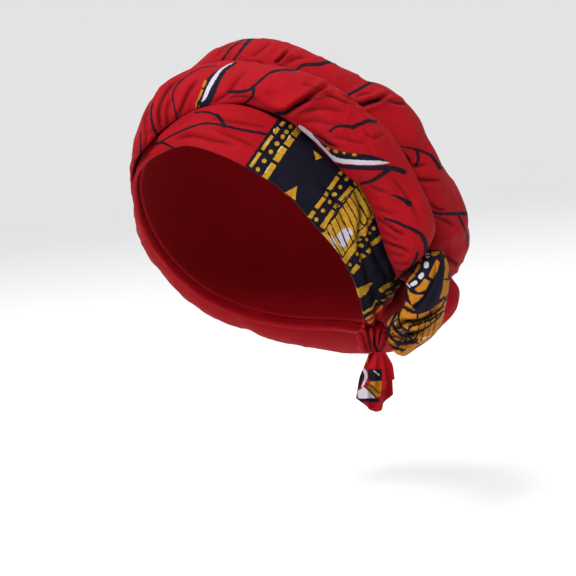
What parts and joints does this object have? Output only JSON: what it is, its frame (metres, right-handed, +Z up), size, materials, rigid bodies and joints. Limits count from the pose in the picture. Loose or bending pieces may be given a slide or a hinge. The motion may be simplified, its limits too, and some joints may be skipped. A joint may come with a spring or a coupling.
{
  "type": "pre-tied head wrap",
  "caption": "Ready-tied cotton head wrap: padded rolls round a cap, a flat printed band, a pouch-shaped bow and a knot with hanging ends behind the ear.",
  "frame": {"origin": "inside of the cap at the very top of the head, where the head carries the wrap", "axes": "+Z up, the wearer faces -Y, the wearer's left is +X"},
  "size_m": [0.2208, 0.21, 0.2317],
  "materials": {
    "cap_cotton": "plain red cotton",
    "band_cotton": "red wax-print cotton with a navy, gold and white border",
    "roll_cotton": "red wax-print cotton with dark veins, padded",
    "border_cotton": "navy and gold wax-print border cotton"
  },
  "bodies": {
    "root": {"crown_cap": "cap_cotton", "head_band": "band_cotton", "front_roll": "roll_cotton", "rear_roll": "roll_cotton", "bow_puff": "border_cotton", "tie_knot": "roll_cotton", "tie_tail_long": "border_cotton", "tie_tail_short": "roll_cotton"}
  },
  "joints": []
}
